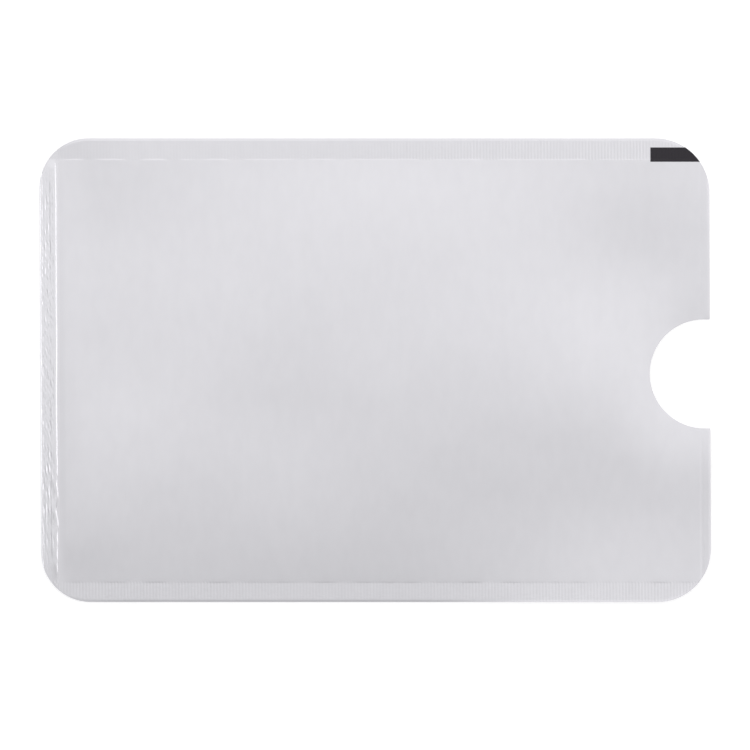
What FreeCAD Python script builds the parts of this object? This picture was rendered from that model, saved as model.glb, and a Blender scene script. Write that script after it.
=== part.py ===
import FreeCAD, Part
import math
import os

from FreeCAD import Vector

# Card sleeve: a three-side-seal pouch of foil laminate, open at one short end.
# X runs along the sleeve with the mouth at +X, Y across it, Z up through the front panel.
# The origin is the middle of the back panel's outer face. All sizes are in millimetres.

# Die-cut outline
sleeve_length = 91.0
sleeve_width = 63.0
end_corner_radius = 6.7
mouth_corner_radius = 7.3

# Thumb notch in the mouth, through both panels
notch_width = 14.8
notch_depth = 8.2
notch_offset = -0.5

# Laminate of each panel, from the outside in
print_film_thickness = 0.030
shield_foil_thickness = 0.012
sealant_film_thickness = 0.060

# Heat-seal welds between the two panels
weld_thickness = 0.030
top_seal_width = 2.8
bottom_seal_width = 2.6
end_seal_width = 2.4

# Room for one card between the panels
card_thickness = 0.76
card_slack = 0.14

# Rounded shoulder by which a panel rises from its seals
shoulder_width = 1.6
pocket_fold_radius = 0.6

# Printed registration mark, cut through by the mouth corner
mark_length = 8.0
mark_width = 1.95
mark_margin = 1.23
mark_ink_thickness = 0.010

# Levels and places that follow from those sizes
half_length = sleeve_length / 2
half_width = sleeve_width / 2
pocket_gap = card_thickness + card_slack
panel_rise = (pocket_gap - weld_thickness) / 2
foil_depth = sealant_film_thickness
print_depth = foil_depth + shield_foil_thickness
laminate_thickness = print_depth + print_film_thickness
mid_plane = pocket_gap / 2 + laminate_thickness
front_seal_face = mid_plane + weld_thickness / 2
pocket_end = -half_length + end_seal_width
pocket_top = half_width - top_seal_width
pocket_bottom = -half_width + bottom_seal_width

# Two equal arcs make the shoulder's S, and the pocket's closed corners turn round it
shoulder_angle = 2 * math.atan(panel_rise / shoulder_width)
shoulder_radius = shoulder_width / (2 * math.sin(shoulder_angle))
pocket_corner_radius = shoulder_width + pocket_fold_radius

up = Vector(0, 0, 1)
touching = 1e-6


def upright_edges(solid, x):
    """The edges of a solid that stand upright at x."""
    found = []
    for edge in solid.Edges:
        start, finish = [vertex.Point for vertex in edge.Vertexes]
        if max(abs(start.x - x), abs(finish.x - x), abs(start.y - finish.y)) < touching:
            found.append(edge)
    return found


def plate(x_span, y_span, z_span, end_radius=0, mouth_radius=0):
    """A flat plate, with its corners rounded at the closed end and at the mouth."""
    corner = Vector(x_span[0], y_span[0], z_span[0])
    solid = Part.makeBox(x_span[1] - x_span[0], y_span[1] - y_span[0], z_span[1] - z_span[0], corner)
    for x, radius in zip(x_span, (end_radius, mouth_radius)):
        if radius:
            solid = solid.makeFillet(radius, upright_edges(solid, x))
    return solid


def die_cut_prism(z_span):
    """The sleeve's outline, with its rounded corners and its thumb notch, as a prism."""
    x_span = (-half_length, half_length)
    y_span = (-half_width, half_width)
    outline = plate(x_span, y_span, z_span, end_corner_radius, mouth_corner_radius)
    notch_radius = notch_width / 2
    notch_middle = Vector(half_length - notch_depth + notch_radius, notch_offset, z_span[0])
    round_end = Part.makeCylinder(notch_radius, z_span[1] - z_span[0], notch_middle, up)
    notch_sides = (notch_offset - notch_radius, notch_offset + notch_radius)
    way_out = plate((notch_middle.x, notch_middle.x + sleeve_length), notch_sides, z_span)
    return outline.cut(round_end.fuse(way_out))


def pocket_plate(inset, z_span):
    """The pocket's plan, drawn in by an inset and running out through the mouth, as a plate."""
    x_span = (pocket_end + inset, sleeve_length)
    y_span = (pocket_bottom + inset, pocket_top - inset)
    return plate(x_span, y_span, z_span, pocket_corner_radius - inset)


def lower_arc_point(radius, turn):
    """A point of the shoulder's lower arc, which is centred above the seal's inner edge."""
    return Vector(radius * math.sin(turn), 0, shoulder_radius - radius * math.cos(turn))


def shoulder_curve(depth):
    """The shoulder's two arcs, at a depth out from the pocket's face, from the seal to the flat."""
    crest = Vector(shoulder_width, 0, panel_rise)
    turns = (0, shoulder_angle / 2, shoulder_angle)
    lower = [lower_arc_point(shoulder_radius - depth, turn) for turn in turns]
    upper = [crest - lower_arc_point(shoulder_radius + depth, turn) for turn in turns]
    return [Part.Arc(*lower).toShape(), Part.Arc(*upper).toShape()]


def shoulder_section(inner, outer):
    """The shoulder's cross-section between two depths, with the seal's inner edge at X 0."""
    foot = Part.makeLine(Vector(0, 0, inner), Vector(0, 0, outer))
    crest_low = Vector(shoulder_width, 0, panel_rise + inner)
    crest_high = Vector(shoulder_width, 0, panel_rise + outer)
    crest = Part.makeLine(crest_low, crest_high)
    edges = shoulder_curve(inner) + shoulder_curve(outer) + [foot, crest]
    return Part.Face(Part.Wire(Part.__sortEdges__(edges)))


def formed_layer(inner, outer):
    """A front layer between two depths out from the pocket's face, formed but not yet die-cut."""
    web = plate((-sleeve_length, sleeve_length), (-sleeve_width, sleeve_width), (inner, outer))
    flange = web.cut(pocket_plate(0, (inner, outer)))
    flat = pocket_plate(shoulder_width, (panel_rise + inner, panel_rise + outer))
    corner_x = pocket_end + pocket_corner_radius
    corner_low = pocket_bottom + pocket_corner_radius
    corner_high = pocket_top - pocket_corner_radius
    section = shoulder_section(inner, outer)
    end_section = section.translated(Vector(pocket_end, corner_low, 0))
    pieces = [flat, end_section.extrude(Vector(0, corner_high - corner_low, 0))]
    for corner_y, quarter_turn in ((corner_low, 90), (corner_high, -90)):
        corner = Vector(corner_x, corner_y, 0)
        corner_section = section.translated(Vector(pocket_end, corner_y, 0))
        side_section = corner_section.rotated(corner, up, quarter_turn)
        pieces.append(corner_section.revolve(corner, up, quarter_turn))
        pieces.append(side_section.extrude(Vector(sleeve_length - corner_x, 0, 0)))
    return flange.multiFuse(pieces).removeSplitter()


def front_layer(inner, outer):
    """A layer of the front panel, die-cut and set on its seals."""
    die = die_cut_prism((-mid_plane, 2 * mid_plane))
    return formed_layer(inner, outer).common(die).translated(up * front_seal_face)


def back_layer(inner, outer):
    """The same layer of the back panel, which mirrors the front one."""
    return front_layer(inner, outer).mirror(up * mid_plane, up)


def weld(y_span):
    """The weld between the panels, over the part of the seals that lies within a span of Y."""
    z_span = (mid_plane - weld_thickness / 2, mid_plane + weld_thickness / 2)
    seals = die_cut_prism(z_span).cut(pocket_plate(0, z_span))
    return seals.common(plate((-sleeve_length, sleeve_length), y_span, z_span))


def eye_mark():
    """The registration mark, printed on the front over the seal and the foot of its shoulder."""
    ink = front_layer(laminate_thickness, laminate_thickness + mark_ink_thickness)
    mark_top = half_width - mark_margin
    x_span = (half_length - mark_length, sleeve_length)
    return ink.common(plate(x_span, (mark_top - mark_width, mark_top), (0, 2 * mid_plane)))


nodes = {
    "front_print_film": front_layer(print_depth, laminate_thickness),
    "front_shield_foil": front_layer(foil_depth, print_depth),
    "front_sealant_film": front_layer(0, foil_depth),
    "back_print_film": back_layer(print_depth, laminate_thickness),
    "back_shield_foil": back_layer(foil_depth, print_depth),
    "back_sealant_film": back_layer(0, foil_depth),
    "top_seal": weld((pocket_top, sleeve_width)),
    "bottom_seal": weld((-sleeve_width, pocket_bottom)),
    "end_seal": weld((pocket_bottom, pocket_top)),
    "eye_mark": eye_mark(),
}

os.makedirs("parts", exist_ok=True)
for name, shape in nodes.items():
    shape.exportStep("parts/" + name + ".step")
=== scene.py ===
import functools
import math

import bmesh
import bpy
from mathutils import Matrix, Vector, noise


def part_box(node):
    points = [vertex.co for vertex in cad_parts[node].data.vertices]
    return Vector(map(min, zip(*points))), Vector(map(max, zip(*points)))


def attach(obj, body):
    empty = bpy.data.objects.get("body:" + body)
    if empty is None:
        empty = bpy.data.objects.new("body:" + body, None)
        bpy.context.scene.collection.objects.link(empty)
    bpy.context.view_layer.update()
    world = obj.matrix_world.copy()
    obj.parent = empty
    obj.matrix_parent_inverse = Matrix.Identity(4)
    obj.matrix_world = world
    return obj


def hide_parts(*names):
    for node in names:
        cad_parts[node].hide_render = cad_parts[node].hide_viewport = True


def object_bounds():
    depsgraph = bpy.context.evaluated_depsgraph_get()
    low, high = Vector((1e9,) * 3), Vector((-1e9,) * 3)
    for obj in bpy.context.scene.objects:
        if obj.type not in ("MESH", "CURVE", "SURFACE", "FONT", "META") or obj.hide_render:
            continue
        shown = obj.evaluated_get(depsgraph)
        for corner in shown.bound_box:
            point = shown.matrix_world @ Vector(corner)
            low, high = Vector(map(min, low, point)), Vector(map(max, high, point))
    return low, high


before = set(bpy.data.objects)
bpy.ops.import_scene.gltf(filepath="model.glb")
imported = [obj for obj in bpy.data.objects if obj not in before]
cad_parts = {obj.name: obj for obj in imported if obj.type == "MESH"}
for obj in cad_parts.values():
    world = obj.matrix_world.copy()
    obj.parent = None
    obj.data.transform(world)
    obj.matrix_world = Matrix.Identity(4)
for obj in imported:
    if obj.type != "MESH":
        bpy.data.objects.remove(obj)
cad_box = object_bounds()

# Print films
# The outer film of each panel is clear polyester with a satin silver print on its inner side. It
# is laminated to the foil, heat-sealed and formed with it, and die-cut with the finished sleeve.

# Meshes are worked in millimetres, and scaled to metres when a piece is finished.
mm = 0.001
along = Vector((1, 0, 0))
across = Vector((0, 1, 0))


def corners(cad_node):
    """A CAD node's lowest and highest corners, in millimetres."""
    return [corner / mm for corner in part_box(cad_node)]


# The die cuts both panels at once: a rectangle with round corners, and a thumb notch in its mouth.
# The notch's corners take up all but a sliver of its floor, as a bevel can't take up a whole edge.
end_corner_radius = 6.7
mouth_corner_radius = 7.3
corner_segments = 16
notch_width = 14.8
notch_depth = 8.2
notch_offset = -0.5
notch_corner_radius = notch_width / 2 - 0.001
sleeve_low, sleeve_high = corners("front_print_film")
notch_floor = sleeve_high.x - notch_depth
notch_low = notch_offset - notch_width / 2
notch_high = notch_offset + notch_width / 2

# How near a ruled line or a corner counts as the same place, and how slight a turn as straight.
line_slack = 1e-5
corner_slack = 0.01
straight = 0.01

blank = bmesh.new()
bmesh.ops.create_grid(blank, x_segments=1, y_segments=1, size=0.5)
bmesh.ops.scale(blank, vec=sleeve_high - sleeve_low, verts=blank.verts)


def rule(cells, axis, places):
    """Cuts cells of the blank by lines at places on an axis, and returns what they become."""
    if not cells or not places:
        return cells
    places = sorted(places)
    half = len(places) // 2
    parts = set(cells)
    for cell in cells:
        parts.update(cell.edges, cell.verts)
    line = {"plane_co": axis * places[half], "plane_no": axis, "dist": line_slack}
    cut = bmesh.ops.bisect_plane(blank, geom=list(parts), **line)["geom"]
    before = []
    after = []
    for part in cut:
        if isinstance(part, bmesh.types.BMFace):
            is_before = part.calc_center_median().dot(axis) < places[half]
            (before if is_before else after).append(part)
    return rule(before, axis, places[:half]) + rule(after, axis, places[half + 1:])


def cells_within(plan, low_x, high_x, low_y, high_y):
    """The cells of a flat plan whose middles lie in a rectangle."""
    found = []
    for cell in plan.faces:
        middle = cell.calc_center_median()
        if low_x < middle.x < high_x and low_y < middle.y < high_y:
            found.append(cell)
    return found


def round_corners(radius, x, low_y, high_y):
    """Rounds the blank's two corners at x."""
    places = Vector((x, low_y)), Vector((x, high_y))
    found = []
    for vert in blank.verts:
        if min((vert.co.xy - place).length for place in places) < corner_slack:
            found.append(vert)
    curve = {"offset": radius, "segments": corner_segments, "profile": 0.5}
    bmesh.ops.bevel(blank, geom=found, affect="VERTICES", material=-1, **curve)


rule(rule(blank.faces[:], along, [notch_floor]), across, [notch_low, notch_high])
notch = cells_within(blank, notch_floor, sleeve_high.x, notch_low, notch_high)
bmesh.ops.delete(blank, geom=notch, context="FACES")
bmesh.ops.dissolve_faces(blank, faces=blank.faces[:])
bmesh.ops.dissolve_limit(blank, angle_limit=straight, verts=blank.verts[:], edges=blank.edges[:])
round_corners(end_corner_radius, sleeve_low.x, sleeve_low.y, sleeve_high.y)
round_corners(mouth_corner_radius, sleeve_high.x, sleeve_low.y, sleeve_high.y)
round_corners(notch_corner_radius, notch_floor, notch_low, notch_high)

# The rim at the cut edge and the slope inside it can bend apart from the rest. A further band keeps
# the panel's own surface even. Until the blank is formed, its Z says how much of the rim's bend a
# point takes.
rim_width = 0.08
rim_slope = 0.18
rim_band = 0.1
for band_width in (rim_width, rim_slope, rim_band):
    inside = max(blank.faces, key=bmesh.types.BMFace.calc_area)
    band = {"thickness": band_width, "use_boundary": True, "use_even_offset": True}
    bmesh.ops.inset_region(blank, faces=[inside], **band)
for edge in blank.edges:
    if any(vert.is_boundary for vert in edge.verts):
        for vert in edge.verts:
            vert.co.z = 1


def steps(start, stop, pitch):
    """Places a pitch apart, from start to a tenth of a pitch or more before stop."""
    count = math.floor((stop - start) / pitch - 0.1)
    return [start + pitch * step for step in range(1, count + 1)]


def every(count, places):
    """Every so many of some places."""
    return places[count - 1::count]


# Lines are ruled closely where the laminate has fine relief: in the seals, along their inner edges
# and along the crease at the mouth. Columns and rows are fractions of the pitch of the jaws' ribs.
end_seal_width = 2.4
pocket_end = sleeve_low.x + end_seal_width
pocket_top = corners("top_seal")[0].y
pocket_bottom = corners("bottom_seal")[1].y
jaw_pitch = 0.434
columns = steps(sleeve_low.x, sleeve_high.x, jaw_pitch / 4)
rows = steps(pocket_bottom, pocket_top, jaw_pitch / 8)

# The end seal's ribs, its bead and the step up to the pocket each reach so many columns in.
rib_zone = columns[15]
bead_zone = columns[22]
end_zone = columns[31]
end_columns = [x for x in columns if x < end_zone]
end_columns += steps(sleeve_low.x, rib_zone, jaw_pitch / 8)
end_columns += steps(rib_zone, bead_zone, jaw_pitch / 16)

# The crease's place and the width that is ruled for it.
crease_line = sleeve_high.x - 1.2
crease_zone = 0.5
crease_columns = [x for x in columns if abs(x - crease_line) < crease_zone]

# Rows along the long seals, a few of them inside the pocket.
margin_rows = 3
low_margin = rows[margin_rows]
high_margin = rows[-margin_rows - 1]
seal_insets = (0.1, 0.7, 1.5)
side_rows = rows[:margin_rows] + rows[-margin_rows:]
side_rows += [pocket_top + inset for inset in seal_insets]
side_rows += [pocket_bottom - inset for inset in seal_insets]

# No part of the sleeve lies farther from its middle than this, along it or across it.
far = sleeve_high.x
rule(blank.faces[:], across, [pocket_bottom, low_margin, high_margin, pocket_top])
rule(cells_within(blank, -far, far, pocket_bottom, pocket_top), along, [end_zone])
end_cells = cells_within(blank, -far, end_zone, pocket_bottom, pocket_top)
panel_cells = cells_within(blank, end_zone, far, low_margin, high_margin)
side_cells = list(set(blank.faces) - set(end_cells) - set(panel_cells))
rule(rule(end_cells, along, end_columns), across, every(4, rows))
rule(rule(panel_cells, along, every(8, columns) + crease_columns), across, every(16, rows))
rule(rule(side_cells, along, columns), across, side_rows)

# Levels of the laminate's faces in the seals, measured from the plane midway between the panels.
front = 1
back = -1
mid_plane = (corners("front_sealant_film")[0].z + corners("back_sealant_film")[1].z) / 2
seal_level = corners("front_sealant_film")[0].z - mid_plane
foil_level = corners("front_shield_foil")[0].z - mid_plane
print_level = corners("front_print_film")[0].z - mid_plane
outer_level = corners("eye_mark")[0].z - mid_plane


def ease(part):
    """Goes smoothly from 0 to 1 as part does, and stays there."""
    part = min(max(part, 0), 1)
    return part * part * (3 - 2 * part)


def hump(distance, reach):
    """A rounded hump, 1 high in the middle and about two reaches wide."""
    return math.exp(-(distance / reach) ** 2)


# An empty pocket steps up at its seals, unevenly along the sides and with a fold at the end near
# the bottom, then swells slowly to the room that a card takes. Each noise has a pattern number of
# its own.
pocket_room = sleeve_high.z - mid_plane - outer_level
half_pocket = (pocket_top - pocket_bottom) / 2
top_step = 0.02
top_step_width = 0.15
bottom_step = 0.005
bottom_step_width = 0.2
step_evenness = 0.4
step_breaks_per_mm = 0.35
step_pattern = 5
end_step = 0.13
end_step_width = 1.2
end_step_length = 8.0
end_fold = 0.4
end_fold_y = -22.0
end_fold_reach = 9.0
end_fold_margin = 6.0
end_swell_length = 38.0
front_fullness = 2
front_softness = 3.0
back_fullness = 4
back_softness = 0.5


def bow(from_side):
    """A bow across the pocket, from 0 at its long sides to 1 in its middle."""
    return 1 - (1 - max(from_side, 0) / half_pocket) ** 2


def pocket_rise(x, y, fullness, softness):
    """How far an empty panel stands out: a fuller one is flatter, and a softer one rises later."""
    from_top = max(pocket_top - y, 0)
    from_bottom = max(y - pocket_bottom, 0)
    from_end = max(x - pocket_end, 0)
    from_side = min(from_top, from_bottom)
    breaks = noise.noise((step_breaks_per_mm * x, 0, step_pattern))
    step = bottom_step + (top_step - bottom_step) * from_bottom / (2 * half_pocket)
    step *= 2 * ease(step_evenness + breaks)
    step *= ease(from_top / top_step_width) * ease(from_bottom / bottom_step_width)
    fold = end_fold * hump(y - end_fold_y, end_fold_reach) * ease(from_side / end_fold_margin)
    step += end_step * (bow(from_side) + fold) * hump(from_end, end_step_length)
    slack_top = math.hypot(from_top, softness) - softness
    side_slack = 1 - min(slack_top, from_bottom) / half_pocket
    end_slack = 1 - min(from_end / end_swell_length, 1)
    swell = (1 - side_slack ** fullness) * (1 - end_slack ** fullness)
    swell *= pocket_room - 2 * top_step
    return step * ease(from_end / end_step_width) + swell


# The top seal curls up a little towards its cut edge, and two opposite corners lift off the floor,
# each from a place across the sleeve and from a place along it.
top_curl = 0.06
end_lift = 0.22
end_lift_y = 15.0
end_lift_x = -28.0
end_lift_length = 14.0
mouth_lift = 0.23
mouth_lift_y = -18.0
mouth_lift_x = 5.0
mouth_lift_length = 25.0


def curl(x, y):
    """How far the sleeve, with both panels, curls up along its top seal and at two corners."""
    top_part = max(y - pocket_top, 0) / (sleeve_high.y - pocket_top)
    end_part = max(y - end_lift_y, 0) / (sleeve_high.y - end_lift_y)
    mouth_part = max(mouth_lift_y - y, 0) / (mouth_lift_y - sleeve_low.y)
    end_corner = end_lift * end_part ** 2 * ease((end_lift_x - x) / end_lift_length)
    mouth_corner = mouth_lift * mouth_part ** 2 * ease((x - mouth_lift_x) / mouth_lift_length)
    return top_curl * top_part + end_corner + mouth_corner


# Slow swells in the slack front panel: the middle of each, its reach along and across, and its
# height. A slight unevenness lies over them, made by layers of noise with a fall-off, a spacing and
# a count.
front_swells = [
    (37, 15, 15, 15, -1.00),
    (36, -22, 17, 17, -0.44),
    (38, 9, 30, 24, 0.18),
    (44, 2, 7, 8, -0.42),
    (42, -4, 7, 7, -0.30),
    (-33, 22, 14, 14, -0.45),
    (-35, 1, 12, 11, -0.25),
    (-40, -24, 8, 8, 0.08),
    (1, 25, 12, 10, 0.34),
    (-12, -8, 10, 13, -0.22),
    (12, -22, 9, 14, -0.08),
]
swell_margin = 5.0
unevenness = 0.015
unevenness_per_mm = 0.12
unevenness_pattern = 2
unevenness_layers = (1.0, 2.0, 3)


def slack(x, y):
    """The slow swells of the front panel, which die away at the seals."""
    spot = (unevenness_per_mm * x, unevenness_per_mm * y, unevenness_pattern)
    relief = unevenness * noise.fractal(spot, *unevenness_layers)
    for middle_x, middle_y, reach_x, reach_y, rise in front_swells:
        relief += rise * hump(x - middle_x, reach_x) * hump(y - middle_y, reach_y)
    from_side = min(pocket_top - y, y - pocket_bottom)
    return relief * (bow(from_side) * ease((x - pocket_end) / swell_margin))


# The bead of sealant that the end bar squeezes out along the pocket. It wanders slowly, and more
# shortly in its lower part, and near the top it has a second bead behind it.
bead_height = 0.055
bead_back = 0.6
bead_front = 0.18
bead_top_fade = 1.2
bead_bottom_fade = 3.0
bead_line = pocket_end - 0.3
bead_wander = 0.1
bead_wander_per_mm = 0.12
bead_wander_pattern = 3
bead_wobble = 0.24
bead_wobble_y = -9.0
bead_wobble_fade = 5.0
bead_wobble_per_mm = 0.5
bead_wobble_pattern = 7
second_bead_line = pocket_end - 0.65
second_bead_part = 0.6
second_bead_y = 22.0
second_bead_fade = 2.0


def bead_profile(distance):
    """The bead's section, which slopes up from the seal and drops steeply to the pocket."""
    return hump(distance, bead_back) if distance < 0 else 1 - ease(distance / bead_front)


def bead(x, y):
    """The bead along the front panel's end seal."""
    wander = bead_wander * noise.noise((0, bead_wander_per_mm * y, bead_wander_pattern))
    wobble = bead_wobble * ease((bead_wobble_y - y) / bead_wobble_fade)
    wander += wobble * noise.noise((0, bead_wobble_per_mm * y, bead_wobble_pattern))
    second = second_bead_part * ease((y - second_bead_y) / second_bead_fade)
    profile = bead_profile(x - (bead_line + wander))
    profile += second * bead_profile(x - (second_bead_line + wander))
    fade = ease((pocket_top - y) / bead_top_fade) * ease((y - pocket_bottom) / bead_bottom_fade)
    return bead_height * profile * fade


# The front panel has a faint crease along the mouth, shallower from the notch upwards, and its rim
# there is rolled down.
crease_depth = 0.024
crease_reach = 0.2
crease_margin = 0.5
crease_loss = 0.6
crease_loss_y = -14.0
crease_loss_length = 6.0
mouth_roll = -0.035
mouth_roll_reach = 0.4


def crease(x, y):
    """The depth of the crease along the mouth."""
    from_side = min(pocket_top - y, y - pocket_bottom)
    depth = crease_depth * (1 - crease_loss * ease((y - crease_loss_y) / crease_loss_length))
    return depth * ease(from_side / crease_margin) * hump(x - crease_line, crease_reach)


# The ribs that the bar presses along the end seal. They die away at the cut edge, at the bead and
# towards the corners, waver a little, and are broken, into shorter lengths the nearer to the top.
rib_pitch = 0.42
rib_height = 0.03
rib_edge = 0.4
rib_corner_fade = 5.0
rib_waver = 2.5
rib_waver_per_mm = 0.4
rib_waver_pattern = 17
rib_strength = 0.35
outer_rib_strength = 0.2
outer_rib_y = 9.0
outer_rib_length = 6.0
rib_breaks = 1.2
rib_breaks_per_mm = (2.6, 1.6)
rib_breaks_growth = 0.022
rib_breaks_pattern = 11


def end_ribs(x, y):
    """The bar's fine ribs in the end seal, which both panels follow."""
    from_side = min(pocket_top - y, y - pocket_bottom)
    in_seal = ease((x - sleeve_low.x) / rib_edge) * ease((pocket_end - rib_edge - x) / rib_edge)
    in_seal *= ease(from_side / rib_corner_fade)
    waver = rib_waver * noise.noise((0, rib_waver_per_mm * y, rib_waver_pattern))
    strength = rib_strength + outer_rib_strength * ease((abs(y) - outer_rib_y) / outer_rib_length)
    breaks_x, breaks_y = rib_breaks_per_mm
    spot = (breaks_x * x, breaks_y * y + rib_breaks_growth * y * y, rib_breaks_pattern)
    broken = strength + rib_breaks * noise.noise(spot)
    return rib_height * in_seal * broken * math.sin(2 * math.pi * x / rib_pitch + waver)


# The ribs that the side jaws press across the long seals. They are stronger towards the mouth, and
# in the bottom seal towards the closed end too.
side_rib_height = 0.02
side_rib_fade = 0.22
side_rib_change = 14.0
top_rib_strength = 0.12
top_rib_mouth = 0.42
top_rib_mouth_x = -4.0
bottom_rib_strength = 0.22
bottom_rib_mouth = 0.24
bottom_rib_mouth_x = 4.0
bottom_rib_end = 0.3
bottom_rib_end_x = -12.0
side_rib_breaks = 1.2
side_rib_breaks_per_mm = (1.1, 2.3)
side_rib_pattern = 23


def side_ribs(x, y):
    """The jaws' fine ribs, uneven and dying away in the pocket, which both panels follow."""
    from_side = min(pocket_top - y, y - pocket_bottom)
    if y > 0:
        strength = top_rib_strength
        strength += top_rib_mouth * ease((x - top_rib_mouth_x) / side_rib_change)
    else:
        strength = bottom_rib_strength
        strength += bottom_rib_mouth * ease((x - bottom_rib_mouth_x) / side_rib_change)
        strength += bottom_rib_end * ease((bottom_rib_end_x - x) / side_rib_change)
    breaks_x, breaks_y = side_rib_breaks_per_mm
    breaks = noise.noise((breaks_x * x, breaks_y * y, side_rib_pattern))
    broken = strength * (1 + side_rib_breaks * breaks)
    turn = 2 * math.pi * (x - sleeve_low.x) / jaw_pitch
    return side_rib_height * broken * ease(1 - from_side / side_rib_fade) * math.sin(turn)


# The slitting blades roll the long edges down, though the bottom one turns up towards the mouth,
# and the closed end springs up a little behind the die.
top_roll = -0.08
bottom_roll = -0.032
bottom_turn = 1.4
bottom_turn_x = 4.0
bottom_turn_length = 20.0
roll_reach = 1.4
roll_start = 12.0
end_spring = 0.05
end_spring_reach = 0.4


def rim_bend(x, y):
    """How far the rim at the cut edge is bent up or down."""
    from_end = x - sleeve_low.x
    roll = top_roll
    if y <= 0:
        roll = bottom_roll * (1 - bottom_turn * ease((x - bottom_turn_x) / bottom_turn_length))
    at_long_edge = ease(abs(y) - sleeve_high.y + roll_reach) * ease(from_end / roll_start)
    return roll * at_long_edge + end_spring * ease(1 - from_end / end_spring_reach)


@functools.cache
def panel_height(x, y, rim, side):
    """How high a panel would stand at a point if its layers had no thickness."""
    if side == front:
        relief = slack(x, y) + bead(x, y) - crease(x, y)
        rise = pocket_rise(x, y, front_fullness, front_softness) + relief
        rise += rim * mouth_roll * ease(1 - (sleeve_high.x - x) / mouth_roll_reach)
    else:
        rise = pocket_rise(x, y, back_fullness, back_softness)
    shared = rim * rim_bend(x, y) + curl(x, y) + end_ribs(x, y) + side_ribs(x, y)
    return mid_plane + shared + side * rise


def height(x, y, rim, side, level):
    """The height of a point of a panel, at a level of the laminate on one side."""
    return panel_height(x, y, rim, side) + side * level


# The bar and the die stand a little askew to the slit long edges, so what they make leans with the
# ends.
end_lean = 0.0045


def formed(plan, inner, outer):
    """A closed sheet over a plan, between two places in the laminate, each a side and a level."""
    sheet = plan.copy()
    grown = bmesh.ops.extrude_face_region(sheet, geom=sheet.faces[:])["geom"]
    outer_verts = {part for part in grown if isinstance(part, bmesh.types.BMVert)}
    for vert in sheet.verts:
        vert.co.z = height(*vert.co, *(outer if vert in outer_verts else inner))
        vert.co.x -= end_lean * vert.co.y
    bmesh.ops.recalc_face_normals(sheet, faces=sheet.faces[:])
    return sheet


# Faces that meet at more than this angle have a sharp edge between them.
sharp_angle = math.radians(35)


def add_piece(name, sheet, finish, cad_node):
    """Finishes a sheet as a piece of the sleeve that stands for its CAD node."""
    bmesh.ops.scale(sheet, vec=(mm, mm, mm), verts=sheet.verts)
    mesh = bpy.data.meshes.new(name)
    sheet.to_mesh(mesh)
    sheet.free()
    mesh.shade_smooth()
    mesh.set_sharp_from_angle(angle=sharp_angle)
    mesh.materials.append(finish)
    piece = bpy.data.objects.new(name, mesh)
    bpy.context.scene.collection.objects.link(piece)
    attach(piece, "root")
    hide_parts(cad_node)


def add_layer(name, inner_level, outer_level, finish, slot):
    """Adds the same layer of the back and of the front panel, whose CAD nodes end in its slot."""
    for panel, side in (("back", back), ("front", front)):
        sheet = formed(blank, (side, inner_level), (side, outer_level))
        add_piece(name + "_" + panel, sheet, finish, panel + "_" + slot)


def add_node(tree, kind, sockets):
    """Adds a shader node, with each socket set to a value or linked to another node's output."""
    made = tree.nodes.new("ShaderNode" + kind)
    for socket, value in sockets.items():
        if isinstance(value, bpy.types.NodeSocket):
            tree.links.new(value, made.inputs[socket])
        else:
            made.inputs[socket].default_value = value
    return made


def new_finish(name):
    """A new material, as its node tree, its surface shader and its Object coordinates."""
    material = bpy.data.materials.new(name)
    material.use_nodes = True
    tree = material.node_tree
    place = add_node(tree, "TexCoord", {}).outputs["Object"]
    return material, tree, tree.nodes["Principled BSDF"], place


def streaks(tree, place, per_mm):
    """Noise with so many streaks to the millimetre along each axis."""
    scale = [count / mm for count in per_mm]
    stretched = add_node(tree, "Mapping", {"Vector": place, "Scale": scale}).outputs["Vector"]
    sockets = {"Vector": stretched, "Scale": 1.0, "Detail": 2.0}
    return add_node(tree, "TexNoise", sockets).outputs["Fac"]


def graded(tree, factor, low, high, low_value, high_value):
    """A number that goes from one value to another while a factor goes from low to high."""
    limits = {"From Min": low, "From Max": high, "To Min": low_value, "To Max": high_value}
    return add_node(tree, "MapRange", {"Value": factor, **limits}).outputs["Result"]


def shaded(tree, factor, low, high, low_color, high_color):
    """A colour that goes from one shade to another while a factor goes from low to high."""
    ramp = add_node(tree, "ValToRGB", {"Fac": factor})
    shades = zip(ramp.color_ramp.elements, (low, high), (low_color, high_color))
    for stop, position, color in shades:
        stop.position = position
        stop.color = (*color, 1)
    return ramp.outputs["Color"]


# The silver print is faintly mottled and shows the foil's rolling grain, across the sleeve. The end
# bar presses it glossier. Most of the noise lies within a span about its middle.
noise_span = (0.3, 0.7)
silver_dark = (0.634, 0.628, 0.657)
silver_light = (0.648, 0.642, 0.671)
satin_roughness = 0.30
pressed_roughness = 0.24
gloss_edge = (pocket_end - 0.1) * mm, (pocket_end + 0.2) * mm
mottle_per_mm = (0.8, 0.4, 0.4)
grain_per_mm = (5.0, 0.5, 0.5)
grain_depth = 0.01 * mm
grain_strength = 0.02

silver_print, tree, surface, place = new_finish("silver_print")
mottle = streaks(tree, place, mottle_per_mm)
silver = shaded(tree, mottle, *noise_span, silver_dark, silver_light)
tree.links.new(silver, surface.inputs["Base Color"])
place_x = add_node(tree, "SeparateXYZ", {"Vector": place}).outputs["X"]
roughness = graded(tree, place_x, *gloss_edge, pressed_roughness, satin_roughness)
tree.links.new(roughness, surface.inputs["Roughness"])
grain = streaks(tree, place, grain_per_mm)
bump = {"Height": grain, "Strength": grain_strength, "Distance": grain_depth}
tree.links.new(add_node(tree, "Bump", bump).outputs["Normal"], surface.inputs["Normal"])
surface.inputs["Metallic"].default_value = 1.0

add_layer("silver_film", print_level, outer_level, silver_print, "print_film")

# Shield foils
# Each panel has a layer of soft aluminium foil that blocks the radio field. It is rolled thin,
# bright and finely lined, and glued between the print film and the sealant film.

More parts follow.
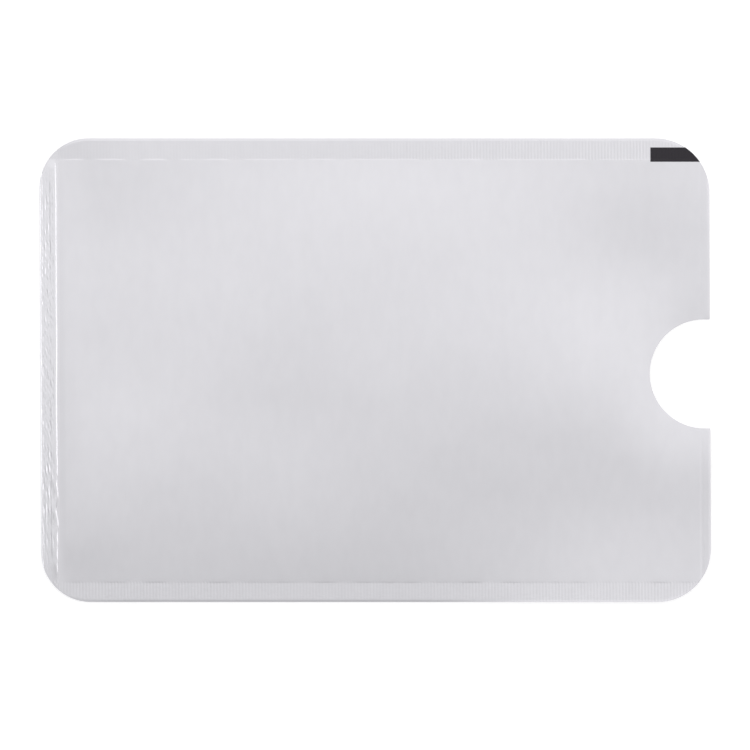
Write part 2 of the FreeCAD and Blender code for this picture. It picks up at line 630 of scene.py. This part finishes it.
foil_dark = (0.80, 0.80, 0.81)
foil_light = (0.90, 0.90, 0.91)
foil_roughness = (0.18, 0.3)
rolling_per_mm = (4.0, 0.05, 4.0)


def streaked_finish(name, per_mm, color_span, dark, light, roughness_range):
    """A new material whose colour and roughness follow the same streaks, and its surface shader."""
    material, tree, surface, place = new_finish(name)
    factor = streaks(tree, place, per_mm)
    color = shaded(tree, factor, *color_span, dark, light)
    tree.links.new(color, surface.inputs["Base Color"])
    roughness = graded(tree, factor, *noise_span, *roughness_range)
    tree.links.new(roughness, surface.inputs["Roughness"])
    return material, surface


bright_foil, surface = streaked_finish(
    "bright_foil", rolling_per_mm, noise_span, foil_dark, foil_light, foil_roughness
)
surface.inputs["Metallic"].default_value = 1.0

add_layer("foil", foil_level, print_level, bright_foil, "shield_foil")

# Sealant films
# The inner film of each panel is soft polyethylene that lines the pocket, so that a card slides
# in, and melts at the seals. It is clear over the foil, so it looks like a paler, smoother silver.

lining_dark = (0.66, 0.66, 0.67)
lining_light = (0.74, 0.74, 0.75)
lining_roughness = (0.28, 0.4)
haze_per_mm = (0.25, 0.1, 0.25)
narrow_span = (0.35, 0.65)

clear_lining, surface = streaked_finish(
    "clear_lining", haze_per_mm, narrow_span, lining_dark, lining_light, lining_roughness
)
surface.inputs["Metallic"].default_value = 0.8

add_layer("lining", seal_level, foil_level, clear_lining, "sealant_film")

# Seal welds
# Along three sides the two sealant films are melted into one by hot, finely ribbed jaws and set as
# a thin weld. The end bar's ribs run along the closed end, and the side jaws' across the seals.

weld_dark = (0.60, 0.60, 0.61)
weld_light = (0.70, 0.70, 0.72)
weld_roughness = (0.35, 0.55)
melt_per_mm = (1.5, 1.5, 3.0)

set_weld, surface = streaked_finish(
    "set_weld", melt_per_mm, narrow_span, weld_dark, weld_light, weld_roughness
)
surface.inputs["Metallic"].default_value = 0.0


def add_weld(name, cad_node, low_x, high_x, low_y, high_y):
    """A weld between the panels over the part of the blank that lies in a rectangle."""
    plan = blank.copy()
    outside = list(set(plan.faces) - set(cells_within(plan, low_x, high_x, low_y, high_y)))
    bmesh.ops.delete(plan, geom=outside, context="FACES")
    weld = formed(plan, (back, seal_level), (front, seal_level))
    plan.free()
    add_piece(name, weld, set_weld, cad_node)


add_weld("weld_top", "top_seal", -far, far, pocket_top, far)
add_weld("weld_bottom", "bottom_seal", -far, far, -far, pocket_bottom)
add_weld("weld_end", "end_seal", -far, pocket_end, pocket_bottom, pocket_top)

# Eye mark
# A black registration mark, printed on the front by the mouth for the cutter's optical sensor. It
# lies over the seal and its ribs, and the die's rounded corner cuts through it.

ink_thickness = 0.01
ink_dark = (0.008, 0.005, 0.010)
ink_light = (0.014, 0.010, 0.017)
ink_roughness = (0.4, 0.55)
ink_per_mm = (2.0, 2.0, 2.0)

mark_ink, surface = streaked_finish(
    "mark_ink", ink_per_mm, noise_span, ink_dark, ink_light, ink_roughness
)
surface.inputs["Specular IOR Level"].default_value = 0.4

mark_low, mark_high = corners("eye_mark")
mark_plan = blank.copy()
for edge, inward in ((mark_low, along), (mark_low, across), (mark_high, -across)):
    whole_plan = mark_plan.verts[:] + mark_plan.edges[:] + mark_plan.faces[:]
    cut_edge = {"plane_co": edge, "plane_no": inward, "clear_inner": True}
    bmesh.ops.bisect_plane(mark_plan, geom=whole_plan, **cut_edge)
mark = formed(mark_plan, (front, outer_level), (front, outer_level + ink_thickness))
add_piece("printed_mark", mark, mark_ink, "eye_mark")
mark_plan.free()
blank.free()

# Floor
# A plain white sweep that the sleeve lies on. It is a matt sheet of a very slightly uneven tone,
# lit through a little so that it stays white under the sleeve's soft lights.

floor_size = 6.0
floor_dark = (0.70, 0.70, 0.70)
floor_light = (0.72, 0.72, 0.72)
floor_per_mm = (0.01, 0.01, 0.01)

floor_sheet = bmesh.new()
bmesh.ops.create_grid(floor_sheet, x_segments=1, y_segments=1, size=floor_size / 2)
bmesh.ops.translate(floor_sheet, vec=(0, 0, cad_box[0].z), verts=floor_sheet.verts)
floor_mesh = bpy.data.meshes.new("floor")
floor_sheet.to_mesh(floor_mesh)
floor_sheet.free()
white_sweep, tree, surface, place = new_finish("white_sweep")
tone = streaks(tree, place, floor_per_mm)
white = shaded(tree, tone, *noise_span, floor_dark, floor_light)
tree.links.new(white, surface.inputs["Base Color"])
surface.inputs["Roughness"].default_value = 0.9
surface.inputs["Emission Color"].default_value = (1, 1, 1, 1)
surface.inputs["Emission Strength"].default_value = 0.5
floor_mesh.materials.append(white_sweep)
floor = bpy.data.objects.new("floor", floor_mesh)
bpy.context.scene.collection.objects.link(floor)

# Light
# A white room, with a large soft light over the top edge, a strip low behind it, and a softer one
# off each end.

room = bpy.data.worlds.new("room")
room.use_nodes = True
room.node_tree.nodes["Background"].inputs["Color"].default_value = (1, 1, 1, 1)
room.node_tree.nodes["Background"].inputs["Strength"].default_value = 0.65
bpy.context.scene.world = room


def add_softbox(name, place, aim, width, length, power):
    """A soft light at a place, turned towards another."""
    lamp = bpy.data.lights.new(name, "AREA")
    lamp.shape = "RECTANGLE"
    lamp.size = width
    lamp.size_y = length
    lamp.energy = power
    softbox = bpy.data.objects.new(name, lamp)
    softbox.location = place
    softbox.rotation_euler = (Vector(aim) - Vector(place)).to_track_quat("-Z", "Y").to_euler()
    softbox.visible_camera = False
    bpy.context.scene.collection.objects.link(softbox)


sleeve_middle = (0, 0, 0)
under_top_light = (0.02, 0.50, 0)
add_softbox("top_light", (0.02, 0.50, 0.90), under_top_light, width=1.24, length=1.14, power=2.80)
add_softbox("edge_light", (0, 0.90, 0.56), sleeve_middle, width=1.20, length=0.12, power=0.55)
add_softbox("mouth_light", (0.70, 0, 0.78), sleeve_middle, width=0.15, length=0.80, power=0.65)
add_softbox("end_light", (-0.90, 0.20, 0.60), sleeve_middle, width=1.20, length=0.60, power=0.70)
bpy.context.scene.view_settings.view_transform = "Standard"

# Camera
# Straight above the sleeve, and far enough off with a long lens that it shows hardly any
# perspective.

view_width = 101.90
view_middle = Vector((-0.04, -0.65, 0.7))
lens = 300.0

camera_data = bpy.data.cameras.new("camera")
camera_data.lens = lens
camera_data.clip_start = 0.01
camera_data.clip_end = 20
camera = bpy.data.objects.new("camera", camera_data)
distance = view_width * lens / camera_data.sensor_width
camera.location = (view_middle + Vector((0, 0, distance))) * mm
bpy.context.scene.collection.objects.link(camera)
bpy.context.scene.camera = camera
